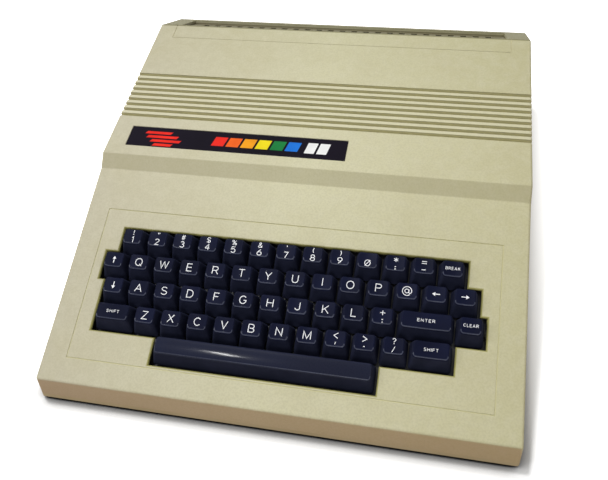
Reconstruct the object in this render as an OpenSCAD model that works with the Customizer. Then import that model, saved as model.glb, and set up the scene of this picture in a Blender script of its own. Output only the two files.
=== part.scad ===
// Home computer in a wedge-shaped moulded case with a built-in full-travel keyboard.
// X runs across the case, Y from front to rear, Z up.
// The origin is on the table, under the middle of the case.

/* [Case] */
// Width of the case at table level
case_w = 325; // [320:1:380]
// Depth of the case at the foot of its walls
case_d = 380; // [372:1:440]
// Height of the rear top edge above the table
case_h = 97; // [92:1:115]
// Wall thickness of both mouldings
wall = 2.5; // [2:0.1:3.2]
// Slope of the side walls in degrees
side_draft = 0.8; // [0.2:0.1:1.6]
// Height of the front edge above the table
front_h = 21.4; // [20:0.2:26]
// How far the front wall leans back
front_lean = 3.5; // [1:0.5:6]
// Height of the edge between rear slope and rear wall
rear_break_h = 76.4; // [70:0.2:84]
// How far the rear wall leans forward
rear_lean = 11.5; // [6:0.5:16]
// Depth of the rear slope, seen from above
rear_slope_run = 43.6; // [38:0.2:50]
// Radius of the long outer edges
edge_r = 2; // [1:0.1:2.4]

/* [Keyboard panel] */
// Length of the keyboard panel along its slope
panel_len = 165.3; // [160:0.1:180]
// Slope of the keyboard panel in degrees
panel_tilt = 18; // [16:0.1:20]
// Length of the step between the panel and the top
step_len = 12.6; // [8:0.2:16]
// Slope of that step in degrees
step_tilt = 40.5; // [34:0.5:50]
// Distance from the panel's front edge to the middle of the space bar
space_row_t = 30.35; // [29:0.05:36]
// Middle of the key field, measured from the middle of the case
key_field_x = -2.7; // [-4:0.1:4]
// Gap round the key field
key_field_gap = 1.25; // [0.8:0.05:1.6]
// Width of the fine border line in the panel
border_line_w = 0.7; // [0.4:0.1:1.2]
// Depth of the fine border line
border_line_depth = 0.5; // [0.2:0.1:0.9]

/* [Keys] */
// Pitch of the keys
pitch = 19.05; // [18.6:0.05:19.4]
// Gap between the skirts of two keys
cap_gap = 0.85; // [0.6:0.05:1.2]
// Height of the key tops above the panel
cap_rise = 6.5; // [5.5:0.1:8]
// Depth of the skirts below the panel
cap_sink = 4.6; // [4:0.1:5.2]
// Difference in width between a key's skirt and its top
cap_taper = 4.75; // [4:0.05:5.4]
// Depth of a key's top, front to rear
cap_top_d = 11.2; // [10.6:0.1:12.4]
// Distance by which the top sits to the rear of the skirt's middle
cap_top_shift = 2.4; // [1.8:0.1:2.6]
// Depth of the dish in a key's top
cap_dish = 0.7; // [0.3:0.1:0.9]
// Height of the rounded back of the space bar
space_crown = 1; // [0.4:0.1:1.2]
// Wall thickness of a key
cap_wall = 1.3; // [1:0.1:1.5]
// Thickness of a key's top above the stem
cap_roof = 1.5; // [1.2:0.1:1.8]
// Corner radius at a key's skirt
cap_skirt_r = 1; // [0.5:0.1:1.5]
// Corner radius at a key's top
cap_top_r = 2; // [1:0.1:2.6]
// Travel of the keys
key_travel = 3.6; // [3:0.1:3.8]
// Side of the square stem under a key
stem_w = 5; // [4:0.1:5.6]
// Clearance of the stem in its switch, on each side
stem_gap = 0.25; // [0.1:0.05:0.4]

/* [Key switches] */
// Width of a switch above the mounting plate
switch_w = 9; // [8.4:0.1:9.4]
// Width of a switch below the mounting plate
switch_body_w = 14; // [13:0.1:15]
// Depth of a switch below the mounting plate
switch_body_h = 5.5; // [4.5:0.1:6]
// Thickness of the steel mounting plate
plate_t = 1.3; // [1:0.1:1.5]
// Depth of the plate's top below the panel surface
plate_sink = 9.5; // [9.2:0.1:9.8]
// Thickness of the keyboard's circuit board
key_board_t = 1.6; // [1.2:0.1:2]

/* [Badge, grooves and vents] */
// Width of the badge recess
badge_w = 173.4; // [150:0.2:190]
// Depth of the badge recess from front to rear
badge_d = 20.5; // [16:0.1:24]
// How deep the badge recess is sunk
badge_sink = 1.2; // [0.8:0.1:1.5]
// Distance from the case's left side to the badge
badge_margin = 17.1; // [12:0.1:24]
// Distance from the top's front edge to the badge
badge_t = 9.3; // [6:0.1:12]
// Number of cross grooves in the top
groove_count = 9; // [6:1:10]
// Pitch of the grooves
groove_pitch = 5.95; // [5.4:0.05:6.4]
// Width of one groove
groove_w = 3.2; // [2.6:0.1:3.6]
// Depth of the grooves
groove_depth = 3; // [1.5:0.1:3.5]
// Distance from the top's front edge to the first groove's middle
groove_t = 41.8; // [38:0.2:46]
// Width of the vent recess in the rear slope
vent_w = 284; // [240:1:296]
// Depth of the vent recess from front to rear
vent_d = 36; // [28:0.5:38]
// How deep the vent recess is sunk
vent_sink = 3; // [2:0.1:4]
// Pitch of the vent slots
vent_pitch = 10.7; // [9:0.1:14]
// Width of one vent slot
vent_slot_w = 5; // [3:0.1:6]

/* [Lower case] */
// Height of the rubber feet
foot_h = 3; // [2:0.1:5]
// Radius of the rubber feet
foot_r = 7; // [5:0.5:9]
// Height of the lower case's visible edge
base_edge_h = 3; // [2.6:0.1:4]
// Height of the lip that stands inside the upper case
lip_h = 6; // [4:0.5:7]
// Thickness of that lip
lip_t = 1.6; // [1.2:0.1:2]
// Gap between the lip and the upper case
lip_gap = 0.3; // [0.2:0.05:0.6]
// Height of the pillars that carry the main board
pillar_h = 8; // [7.4:0.1:9]
// Radius of those pillars
pillar_r = 3.5; // [3:0.1:4]
// Radius of the screw posts in the upper case
post_r = 4; // [3.6:0.1:4.6]
// Radius of the case screws
screw_r = 1.45; // [1.2:0.05:1.6]
// Radius of the case screws' heads
screw_head_r = 3; // [2.6:0.1:3.2]

/* [Main board] */
// Thickness of the main board
board_t = 1.6; // [1.4:0.1:2]
// Gap between the main board and the left wall
board_left_gap = 2.8; // [2:0.1:3]
// Gap between the main board and the right wall
board_right_gap = 9.5; // [8:0.5:14]
// Gap between the main board and the foot of the rear wall
board_rear_gap = 18; // [16:0.5:20]
// Length of the vent slots in the floor
floor_slot_len = 40; // [30:1:60]
// Width of those slots
floor_slot_w = 3; // [2:0.2:4]
// Pitch of those slots
floor_slot_pitch = 14; // [8:0.5:15]
// Depth of the main board
board_d = 224; // [220:1:228]

/* [Sockets on the left side] */
// Height of the round sockets above the main board
din_rise = 9.5; // [9:0.1:11]
// Radius of a round socket's well
din_r = 6.8; // [6.6:0.05:7]
// Depth of a round socket's well
din_depth = 9; // [7:0.5:10]
// Side of a round socket's housing
din_w = 18; // [17:0.5:19]
// Outer radius of the television socket's barrel
tv_r = 4.1; // [4:0.05:4.2]
// Radius of the television socket's centre hole
tv_hole_r = 1.65; // [1.6:0.01:1.7]
// Length of the printer header
printer_w = 33; // [31:0.5:36]
// Radius of the reset button
reset_r = 4; // [3.4:0.1:4.6]
// Travel of the reset button
reset_travel = 2.5; // [1.5:0.1:2.6]

/* [Cartridge port on the right side] */
// Width of the cartridge opening, front to rear
cart_w = 104; // [98:1:106]
// Height of the cartridge opening
cart_h = 24; // [22:0.5:26]
// Distance from the opening's middle to the rear of the case
cart_from_rear = 78; // [76:1:84]
// Height of the opening's lower edge above the main board
cart_rise = 4.9; // [4:0.1:6]
// Thickness of the flap
flap_t = 2; // [1.6:0.1:2.4]
// Radius of the flap's hinge pins
hinge_pin_r = 1.5; // [1.2:0.05:1.6]
// Running clearance of every pin in its hole
pin_gap = 0.05; // [0.02:0.01:0.09]
// Gap between two pieces that are fastened to each other
seat_gap = 0.05; // [0.02:0.01:0.1]

/* [Rear panel] */
// Middle of the power switch, from the middle of the case
switch_x = 95; // [80:1:110]
// Width of the power switch's rocker
rocker_w = 12; // [10:0.5:14]
// Radius of the rocker's round ends about its pivot
rocker_r = 10.5; // [9.5:0.1:11]
// Tilt of the rocker from level to either side
rocker_tilt = 9; // [6:0.5:10]
// Middle of the power socket, from the middle of the case
power_x = 40; // [20:1:56]

/* [Hidden] */
$fn = 48;
slack = 1; // how far a cutting shape stands past the wall it cuts

// Rows of keys from the rear: [first unit, names from the left]
KEY_ROWS = [
    [0.5, ["1", "2", "3", "4", "5", "6", "7", "8", "9", "0", "colon", "minus", "break"]],
    [0, ["up", "q", "w", "e", "r", "t", "y", "u", "i", "o", "p", "at", "left", "right"]],
    [0.25, ["down", "a", "s", "d", "f", "g", "h", "j", "k", "l", "semicolon", "enter", "clear"]],
    [0.25, ["shift_left", "z", "x", "c", "v", "b", "n", "m", "comma", "period", "slash", "shift_right"]],
];
function key_units(name) = name == "enter" ? 2 : name == "shift_left" || name == "shift_right" ? 1.5 : 1;
function units_before(names, i) = i == 0 ? 0 : units_before(names, i - 1) + key_units(names[i - 1]);
space_units = 8;
space_start = 2.75;
field_units = 14;
row_count = len(KEY_ROWS) + 1;
KEYS = [
    for (row = [0 : len(KEY_ROWS) - 1])
        for (i = [0 : len(KEY_ROWS[row][1]) - 1])
            let (names = KEY_ROWS[row][1])
                [str("key_", names[i]), row, KEY_ROWS[row][0] + units_before(names, i), key_units(names[i])]
];
SPACE_BAR = ["space_bar", row_count - 1, space_start, space_units];

// Side profile of the case, [Y, Z], clockwise from the foot of the front wall
half_d = case_d / 2;
function along(angle) = [cos(angle), sin(angle)];
front_foot = [-half_d, foot_h];
front_top = [-half_d + front_lean, front_h];
step_foot = front_top + panel_len * along(panel_tilt);
step_top = step_foot + step_len * along(step_tilt);
rear_break = [half_d - rear_lean, rear_break_h];
rear_top = [rear_break.x - rear_slope_run, case_h];
rear_foot = [half_d, foot_h];
profile = [front_foot, front_top, step_foot, step_top, rear_top, rear_break, rear_foot];
function slope(a, b) = atan2(b.y - a.y, b.x - a.x);
top_tilt = slope(step_top, rear_top);
rear_tilt = slope(rear_top, rear_break);
top_len = norm(rear_top - step_top);
rear_slope_len = norm(rear_break - rear_top);

// Offsetting and rounding of a clockwise outline
function unit(a, b) = (b - a) / norm(b - a);
function inward(a, b) = let (u = unit(a, b)) [u.y, -u.x];
function wrap(points, i) = points[(i + len(points)) % len(points)];
function inset_corner(a, b, c, d) =
    let (n1 = inward(a, b), n2 = inward(b, c)) b + d * (n1 + n2) / (1 + n1 * n2);
function inset(points, d) =
    [for (i = [0 : len(points) - 1]) inset_corner(wrap(points, i - 1), points[i], wrap(points, i + 1), d)];
function lowered(foot, top, drop) = foot + (foot - top) * drop / (top.y - foot.y);
arc_steps = 4;
function arc_corner(a, b, c, r) =
    let (
        u = unit(b, a), v = unit(b, c),
        half = acos(u * v) / 2,
        centre = b + (u + v) / norm(u + v) * r / sin(half),
        from = b + u * r / tan(half) - centre,
        turn = cross(from, b + v * r / tan(half) - centre) > 0 ? 180 - 2 * half : 2 * half - 180
    )
    [for (k = [0 : arc_steps])
        let (q = turn * k / arc_steps)
            centre + [from.x * cos(q) - from.y * sin(q), from.x * sin(q) + from.y * cos(q)]];
step_r = edge_r * 0.6;
profile_r = [0, edge_r, step_r, step_r, edge_r, edge_r, 0];
rounded_profile = [
    for (i = [0 : len(profile) - 1])
        for (p = profile_r[i] == 0
                 ? [profile[i]]
                 : arc_corner(wrap(profile, i - 1), profile[i], wrap(profile, i + 1), profile_r[i])) p
];
// The cavity's profile runs on below the case, so that the upper case is open underneath
open_profile = [
    lowered(front_foot, front_top, 2 * wall), front_top, step_foot, step_top, rear_top, rear_break,
    lowered(rear_foot, rear_break, 2 * wall)
];
function side_x(z) = case_w / 2 - z * tan(side_draft);
rear_slant = rear_lean / (rear_break_h - foot_h);
function rear_y(z) = rear_foot.x - (z - foot_h) * rear_slant;
function inner_rear_y(z) = rear_y(z) - wall * norm([1, rear_slant]);

part_z = foot_h + base_edge_h; // parting plane of the two mouldings
floor_z = foot_h + wall;
backing_h = wall + groove_depth; // thickness of the top under the grooves

// Key field, in the panel's own frame: x across, t up the slope, h out of the panel
field_x = key_field_x - field_units * pitch / 2;
function row_t(row) = space_row_t + (row_count - 1 - row) * pitch;
function key_x(key) = field_x + (key[2] + key[3] / 2) * pitch;
cap_h = cap_rise + cap_sink;
cap_skirt_d = pitch - cap_gap;
function cap_skirt_w(units) = units * pitch - cap_gap;
roof_h = cap_rise - cap_dish - cap_roof; // underside of a key's top
press_clear = 0.6; // between a pressed key and its switch
flange_h = -cap_sink - key_travel - press_clear;
hollow_skirt_d = cap_skirt_d - 2 * cap_wall;
hollow_top_d = cap_top_d - 2 * cap_wall;
// The hollow's front wall leans in by this much for each millimetre of height
hollow_lean = (hollow_skirt_d / 2 + cap_top_shift - hollow_top_d / 2) / (roof_h + cap_sink);
switch_top_h = -cap_sink - key_travel + (hollow_skirt_d / 2 - switch_w / 2 - press_clear) / hollow_lean;
stem_w_well = stem_w + 2 * stem_gap;
stem_engage = 4; // length of stem inside its switch when the key is up
stem_foot_h = switch_top_h - stem_engage;
well_foot_h = stem_foot_h - key_travel - 0.5;
plate_foot_h = -plate_sink - plate_t;
switch_foot_h = plate_foot_h - switch_body_h;
plate_margin = 13; // of the mounting plate past the key field
plate_front_t = space_row_t - pitch / 2 - 4.5;
plate_rear_t = row_t(0) + pitch / 2 + 4.5;
plate_boss_x = field_units * pitch / 2 + 8.5;
plate_boss_ts = [plate_front_t + 5, (plate_front_t + plate_rear_t) / 2, plate_rear_t - 5];
plate_boss_r = 3.5;
plate_screw_r = 1.2;

border_w = 289;
border_front_t = 16.9;
border_rear_t = 132.1;
// Fine line round the rear part of the top
rear_line_w = 0.5;
rear_line_x = case_w / 2 - 17;
rear_line_t = top_len - 17;

// Main board and what stands on it
board_z = floor_z + pillar_h;
board_top = board_z + board_t;
seat_z = board_top + seat_gap; // underside of the parts that stand on the board
board_x = -side_x(board_z) + wall + board_left_gap; // left edge
board_w = 2 * (side_x(board_z) - wall) - board_left_gap - board_right_gap;
board_rear = half_d - board_rear_gap;
board_y = board_rear - board_d; // front edge
floor_slot_rows = 10;
din_z = board_top + din_rise;
left_face_x = -side_x(din_z) + wall + 0.3; // front of the sockets, just inside the wall
tv_y = board_rear - 20;
reset_y = tv_y - 33;
din_ys = [reset_y - 24, reset_y - 50, reset_y - 76];
printer_y = reset_y - 114;
printer_h = 8.8;
printer_z = board_top + 6;

cart_y = half_d - cart_from_rear;
cart_z = board_top + cart_rise;
web_t = 2.5; // walls that guide the cartridge and carry the flap
flap_side_gap = 0.5;
web_y = cart_w / 2 + 2; // from the port's middle to a web's near face
hinge_r = 2; // barrel round the hinge pins
hinge_z = cart_z + cart_h + 3.5;
hinge_x = side_x(hinge_z) - wall - flap_t - 0.75;
flap_drop = hinge_z - cart_z + 1;
web_x = side_x(0) - 58;

rocker_gap = 0.4; // round the rocker's ends
switch_h = 2 * (rocker_r + rocker_gap) + 4;
switch_d = 22;
switch_face_y = inner_rear_y(board_top + switch_h) - 0.3;
rocker_z = board_top + switch_h / 2;
rocker_y = switch_face_y - 3.6;
rocker_nose = 8; // from the pivot to the rocker's face
power_z = board_top + 6.5;

// Screw posts, [X, Y]
post_side = side_x(0) - 15;
posts = [
    for (s = [-1, 1], y = [-half_d + 14.5, board_y - 8, rear_y(part_z) - 11]) [s * post_side, y]
];
boss_top = floor_z + 4.5; // top of the screw bosses in the lower case
pilot_depth = 10;

steel = "silver";
cream = "#ccc7a8";
ink = "#1e2030";

// Local frames on the case's faces
module on_face(corner, tilt) translate([0, corner.x, corner.y]) rotate([tilt, 0, 0]) children();
module on_panel() on_face(front_top, panel_tilt) children();
module on_top() on_face(step_top, top_tilt) children();
module on_rear_slope() on_face(rear_top, rear_tilt) children();

// A solid with a [Y, Z] outline, the full width of the case
module across(outline) rotate([90, 0, 90]) linear_extrude(case_w + 2 * slack, center = true) polygon(outline);

// The space between the two drafted side planes, moved in by d
module between_sides(d) {
    low = -10;
    high = case_h + 10;
    rotate([90, 0, 0])
        linear_extrude(case_d + 4 * slack, center = true)
            polygon([
                [-side_x(low) + d, low], [-side_x(high) + d, high],
                [side_x(high) - d, high], [side_x(low) - d, low]
            ]);
}

module outer_form() intersection() {
    across(rounded_profile);
    between_sides(0);
}

module inner_form(d) intersection() {
    across(inset(open_profile, d));
    between_sides(d);
}

module above(z) translate([-case_w, -case_d, z]) cube([2 * case_w, 2 * case_d, 2 * case_h]);
module below(z) difference() {
    children();
    above(z);
}

// Tool that rounds the edge between a side plane and the face from a to b
module side_edge_tool(a, b, s, before, after) {
    rise = b.y - a.y;
    tilt = slope(a, b);
    lean = asin(sin(side_draft) * cos(tilt));
    len = norm(b - a);
    yaw = atan2(rise * tan(side_draft), len);
    reach = edge_r / tan(45 + lean / 2);
    side_normal = [cos(lean), sin(lean)];
    proud = 0.01; // the circle stands out by this much, so that the round ends in clean edges
    centre = [-reach + proud, -edge_r + proud];
    mirror([s < 0 ? 1 : 0, 0, 0])
        translate([side_x(a.y), a.x, a.y])
            rotate([tilt, 0, 0])
                rotate([0, 0, yaw])
                    translate([0, -before, 0])
                        rotate([-90, 0, 0])
                            linear_extrude(len + before + after)
                                mirror([0, 1])
                                    difference() {
                                        polygon([
                                            [-reach, slack], centre, centre + (edge_r + slack) * side_normal,
                                            [2 * slack, 2 * slack]
                                        ]);
                                        translate(centre) circle(edge_r);
                                    }
}

module side_edge_tools() {
    nib = 0.4;
    for (s = [-1, 1], i = [0 : len(profile) - 2])
        side_edge_tool(
            profile[i], profile[i + 1], s,
            i == 2 ? nib : edge_r, i == 1 ? nib : edge_r
        );
}

// Opening for the keys: one rectangle for each row
module key_opening() {
    rows = concat(
        [for (row = [0 : len(KEY_ROWS) - 1])
            let (names = KEY_ROWS[row][1]) [row, KEY_ROWS[row][0], units_before(names, len(names))]],
        [[row_count - 1, space_start, space_units]]
    );
    on_panel()
        for (r = rows)
            translate([
                field_x + r[1] * pitch - key_field_gap,
                row_t(r[0]) - pitch / 2 - key_field_gap,
                -wall - slack
            ])
                cube([r[2] * pitch + 2 * key_field_gap, pitch + 2 * key_field_gap, wall + 2 * slack]);
}

// Fine sunk line of width w round a rectangle from x1, t1 to x2, t2
module line_frame(x1, t1, x2, t2, w = border_line_w)
    translate([0, 0, -border_line_depth])
        linear_extrude(slack + border_line_depth)
            difference() {
                translate([x1, t1]) square([x2 - x1, t2 - t1]);
                translate([x1 + w, t1 + w]) square([x2 - x1 - 2 * w, t2 - t1 - 2 * w]);
            }

module top_grooves() on_top()
    for (i = [0 : groove_count - 1])
        translate([-case_w / 2 - slack, groove_t + i * groove_pitch - groove_w / 2, -groove_depth])
            cube([case_w + 2 * slack, groove_w, groove_depth + slack]);

module vents() on_rear_slope() {
    slot_count = floor((vent_w - 10) / vent_pitch);
    translate([-vent_w / 2, 2, -vent_sink]) cube([vent_w, vent_d, vent_sink + slack]);
    for (i = [0 : slot_count - 1])
        translate([(i - (slot_count - 1) / 2) * vent_pitch - vent_slot_w / 2, 8, -backing_h - vent_sink])
            cube([vent_slot_w, vent_d - 10, backing_h + vent_sink]);
}

// Material behind the grooves and the vent recess
module backings() {
    groove_run = (groove_count - 1) * groove_pitch + groove_w;
    on_top()
        translate([-case_w / 2, groove_t - groove_w / 2 - wall, -backing_h])
            cube([case_w, groove_run + 2 * wall, backing_h - slack]);
    on_rear_slope()
        translate([-vent_w / 2 - wall, 0, -wall - vent_sink])
            cube([vent_w + 2 * wall, vent_d + 2 + wall, wall + vent_sink - slack]);
}

module post(at) translate([at.x, at.y, boss_top]) cylinder(r = post_r, h = case_h);

module plate_bosses() on_panel()
    for (s = [-1, 1], t = plate_boss_ts)
        translate([key_field_x + s * plate_boss_x, t, -plate_sink])
            cylinder(r = plate_boss_r, h = plate_sink - slack);

// The two walls beside the cartridge port
module cartridge_webs()
    for (s = [-1, 1])
        translate([web_x, cart_y + s * (web_y + web_t / 2) - web_t / 2, board_top + 2])
            cube([side_x(0) - web_x, web_t, case_h]);

module side_apertures() {
    reach = side_x(0) + slack;
    depth = wall + 3 + slack;
    for (y = din_ys) translate([-reach, y, din_z]) rotate([0, 90, 0]) cylinder(r = din_r + 1, h = depth);
    translate([-reach, tv_y, din_z]) rotate([0, 90, 0]) cylinder(r = tv_r + 1, h = depth);
    translate([-reach, reset_y, din_z]) rotate([0, 90, 0]) cylinder(r = reset_r + 0.3, h = depth);
    translate([-reach, printer_y - printer_w / 2 - 1, printer_z - printer_h / 2 - 1])
        cube([depth, printer_w + 2, printer_h + 2]);
    translate([reach - depth, cart_y - cart_w / 2, cart_z]) cube([depth, cart_w, cart_h]);
}

module rear_apertures() {
    depth = 12;
    translate([switch_x - rocker_w / 2 - 1, rear_y(rocker_z) - depth / 2, rocker_z - rocker_r - rocker_gap])
        cube([rocker_w + 2, depth, 2 * (rocker_r + rocker_gap)]);
    translate([power_x, rear_y(power_z) - depth / 2, power_z]) power_outline(depth, 0.6);
}

// D-shaped outline of the power socket's shell
module power_outline(depth, margin) rotate([-90, 0, 0])
    linear_extrude(depth)
        polygon([
            [-8.8 - margin, -4.3 - margin], [8.8 + margin, -4.3 - margin],
            [7.4 + margin, 4.3 + margin], [-7.4 - margin, 4.3 + margin]
        ]);

module upper_case() color(cream) difference() {
    union() {
        intersection() {
            difference() {
                outer_form();
                inner_form(wall);
            }
            above(part_z);
        }
        intersection() {
            outer_form();
            union() {
                backings();
                for (at = posts) post(at);
                plate_bosses();
                cartridge_webs();
            }
        }
    }
    side_edge_tools();
    key_opening();
    on_panel()
        line_frame(-border_w / 2, border_front_t, border_w / 2, border_rear_t);
    on_top()
        translate([-case_w / 2 + badge_margin, badge_t, -badge_sink])
            cube([badge_w, badge_d, badge_sink + slack]);
    on_top() line_frame(-rear_line_x, rear_line_t, rear_line_x, top_len + 3, rear_line_w);
    top_grooves();
    vents();
    side_apertures();
    rear_apertures();
    for (at = posts)
        translate([at.x, at.y, boss_top - slack]) cylinder(r = screw_r + pin_gap, h = pilot_depth + slack);
    on_panel()
        for (s = [-1, 1], t = plate_boss_ts)
            translate([key_field_x + s * plate_boss_x, t, -plate_sink - slack])
                cylinder(r = plate_screw_r + pin_gap, h = 6 + slack);
    translate([hinge_x, cart_y - web_y - web_t - slack, hinge_z])
        rotate([-90, 0, 0]) cylinder(r = hinge_pin_r + pin_gap, h = 2 * (web_y + web_t + slack));
}

screw_seat_z = foot_h + 4;
screw_head_h = 2;

// Screw that points up, with its head below the seat at height z
module screw_up(r, head_r, z, len) {
    translate([0, 0, z - seat_gap - screw_head_h]) cylinder(r = head_r, h = screw_head_h);
    translate([0, 0, z - seat_gap - screw_head_h / 2]) cylinder(r = r, h = len + screw_head_h / 2);
}

foot_recess = 0.8; // how far a foot is let into the lower case
feet = [for (s = [-1, 1], t = [-1, 1]) [s * (case_w / 2 - 22), t * (half_d - 34)]];
board_screw_r = 1.25;
board_screw_len = 5;

// Pillars under the main board, [X, Y]
pillars = [
    for (x = [8, board_w / 2 - 6, board_w - 8], y = [board_y + 28, board_rear - 40]) [board_x + x, y]
];

module lower_case() {
    color(cream) difference() {
        union() {
            difference() {
                union() {
                    below(part_z) outer_form();
                    below(part_z + lip_h)
                        intersection() {
                            inner_form(wall + lip_gap);
                            above(floor_z - slack);
                        }
                }
                intersection() {
                    inner_form(wall + lip_gap + lip_t);
                    above(floor_z);
                }
            }
            for (at = posts)
                translate([at.x, at.y, floor_z - slack])
                    cylinder(r = post_r + 2, h = boss_top - floor_z + slack);
            for (at = pillars)
                translate([at.x, at.y, floor_z - slack]) cylinder(r = pillar_r, h = pillar_h + slack);
        }
        side_edge_tools();
        for (at = posts) translate([at.x, at.y, 0]) {
            cylinder(r = screw_head_r + 0.4, h = screw_seat_z);
            cylinder(r = screw_r + 0.3, h = boss_top + slack);
        }
        for (at = pillars)
            translate([at.x, at.y, board_z - board_screw_len])
                cylinder(r = board_screw_r + pin_gap, h = board_screw_len + slack);
        for (at = feet) translate([at.x, at.y, 0]) cylinder(r = foot_r + seat_gap, h = foot_h + foot_recess);
        for (s = [-1, 1], i = [0 : floor_slot_rows - 1])
            translate([
                s * board_w / 5 - floor_slot_len / 2,
                (board_y + board_rear - floor_slot_w - (floor_slot_rows - 1) * floor_slot_pitch) / 2
                    + i * floor_slot_pitch,
                0
            ])
                cube([floor_slot_len, floor_slot_w, floor_z + slack]);
    }
    color("#26262a") for (at = feet)
        translate([at.x, at.y, 0]) cylinder(r = foot_r, h = foot_h + foot_recess - seat_gap);
    color(steel) for (at = posts)
        translate([at.x, at.y, 0])
            screw_up(screw_r, screw_head_r, screw_seat_z, boss_top + pilot_depth - screw_seat_z - 1);
}

// Stand-alone keyboard: steel plate, switches and circuit board, in the panel's frame

// Square block with its axis along h, from h1 to h2
module block(w, h1, h2) translate([-w / 2, -w / 2, h1]) cube([w, w, h2 - h1]);

// Key switch: a tower with a well for the stem, a flange on the plate and a body below it
module key_switch() difference() {
    union() {
        block(switch_w, -plate_sink, switch_top_h);
        block(switch_body_w + 1, -plate_sink + seat_gap, flange_h);
        block(switch_body_w, switch_foot_h + seat_gap, flange_h);
    }
    block(stem_w_well, well_foot_h, 0);
}

// Outer stems guide the ends of the space bar
space_guide = 3 * pitch;
switch_spots = concat(
    [for (key = KEYS) [key_x(key), row_t(key[1])]],
    [for (i = [-1 : 1]) [key_x(SPACE_BAR) + i * space_guide, row_t(SPACE_BAR[1])]]
);

// Flat cable from the keyboard's board down to its connector on the main board, as a [Y, Z] strip
ribbon_w = 42;
ribbon_t = 0.8;
ribbon_top = front_top + (plate_rear_t - 8) * along(panel_tilt)
    + (switch_foot_h - key_board_t - seat_gap) * [-sin(panel_tilt), cos(panel_tilt)];
ribbon_foot = [board_y + 10, board_top + 6];
module ribbon() {
    bend = ribbon_top - [0, 4];
    rotate([90, 0, 90])
        linear_extrude(ribbon_w, center = true)
            polygon([
                ribbon_top, bend, [ribbon_foot.x, bend.y - 4], ribbon_foot,
                ribbon_foot + [ribbon_t, 0], [ribbon_foot.x + ribbon_t, bend.y - 4 + ribbon_t],
                bend + [ribbon_t, ribbon_t], ribbon_top + [ribbon_t, ribbon_t * tan(panel_tilt)]
            ]);
}

module keyboard_unit() {
    width = field_units * pitch + 2 * plate_margin;
    depth = plate_rear_t - plate_front_t;
    on_panel() {
        color("#8d9094") difference() {
            translate([key_field_x - width / 2, plate_front_t, plate_foot_h]) cube([width, depth, plate_t]);
            for (spot = switch_spots)
                translate([spot.x, spot.y, 0]) block(switch_body_w + 2 * seat_gap, plate_foot_h - slack, 0);
            for (s = [-1, 1], t = plate_boss_ts)
                translate([key_field_x + s * plate_boss_x, t, plate_foot_h - slack])
                    cylinder(r = plate_screw_r + 0.3, h = plate_t + 2 * slack);
        }
        color("#3a3b40") for (spot = switch_spots) translate([spot.x, spot.y, 0]) key_switch();
        color("#2f5d3a")
            translate([field_x - 2, plate_front_t + 2, switch_foot_h - key_board_t])
                cube([field_units * pitch + 4, depth - 4, key_board_t]);
        color(steel) for (s = [-1, 1], t = plate_boss_ts)
            translate([key_field_x + s * plate_boss_x, t, 0]) screw_up(plate_screw_r, 2.5, plate_foot_h, 6);
    }
    color("#9a9a98") ribbon();
}

// Chips on the main board: [from its left edge, from its rear edge, count across, pitch, kind of chip]
small_chip = [6.6, 20];
rom_chip = [13.8, 36];
large_chip = [13.8, 52];
chips = [
    [61, 98, 2, 24, large_chip],
    [117, 98, 1, 0, large_chip],
    [161, 82, 2, 22, rom_chip],
    [37, 144, 8, 13, small_chip],
    [37, 170, 8, 13, small_chip],
    [150, 144, 5, 15, small_chip],
    [150, 170, 5, 15, small_chip],
    [37, 196, 6, 16, small_chip],
];
chip_h = 4;
sink_h = 32;
connector_slot_z = cart_z + cart_h / 2;

module round_socket(y) translate([left_face_x, y, din_z]) difference() {
    translate([0, -din_w / 2, seat_z - din_z]) cube([din_depth + 4, din_w, din_z - seat_z + din_w / 2]);
    translate([-slack, 0, 0]) rotate([0, 90, 0]) cylinder(r = din_r, h = din_depth + slack);
    for (q = [-90 : 45 : 90])
        rotate([q, 0, 0])
            translate([din_depth - slack, 0, -4]) rotate([0, 90, 0]) cylinder(r = 0.8, h = 3 + slack);
}

module television_socket() {
    barrel = wall + 0.2; // ends just inside the case's face
    difference() {
        union() {
            translate([left_face_x, tv_y - 17, seat_z]) cube([48, 34, 18.5]);
            translate([left_face_x - barrel, tv_y, din_z])
                rotate([0, 90, 0]) cylinder(r = tv_r, h = barrel + slack);
        }
        translate([left_face_x - barrel - slack, tv_y, din_z])
            rotate([0, 90, 0]) cylinder(r = tv_hole_r, h = tv_hole_len + slack);
    }
}

module printer_header() translate([left_face_x, printer_y, printer_z]) {
    difference() {
        translate([0, -printer_w / 2, seat_z - printer_z])
            cube([11, printer_w, printer_z + printer_h / 2 - seat_z]);
        translate([-slack, -printer_w / 2 + 1.2, -printer_h / 2 + 1.2])
            cube([9 + slack, printer_w - 2.4, printer_h - 2.4]);
    }
    for (i = [-4.5 : 4.5], z = [-1.27, 1.27])
        translate([3, i * 2.54 - 0.32, z - 0.32]) cube([7, 0.64, 0.64]);
}

tv_hole_len = 9;
reset_stem_r = 1.5;
reset_recess = 0.5; // how far the button lies back from the case's face
reset_len = 9.5;
reset_stem_len = 18;
reset_tip_x = -side_x(din_z) + reset_recess;
reset_switch_x = reset_tip_x + reset_len + reset_travel + 0.5;
reset_bore = reset_tip_x + reset_stem_len + reset_travel + 0.5 - reset_switch_x;

module reset_switch() difference() {
    translate([reset_switch_x, reset_y - 5, seat_z]) cube([reset_bore + 1.5, 10, din_z - seat_z + 5]);
    translate([reset_switch_x - slack, reset_y, din_z])
        rotate([0, 90, 0]) cylinder(r = reset_stem_r + pin_gap, h = reset_bore + slack);
}

module cartridge_connector() translate([web_x - 16, cart_y, 0]) difference() {
    translate([0, -31, seat_z]) cube([12, 62, connector_slot_z + 5 - seat_z]);
    translate([3, -27, connector_slot_z - 0.9]) cube([9 + slack, 54, 1.8]);
}

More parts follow.
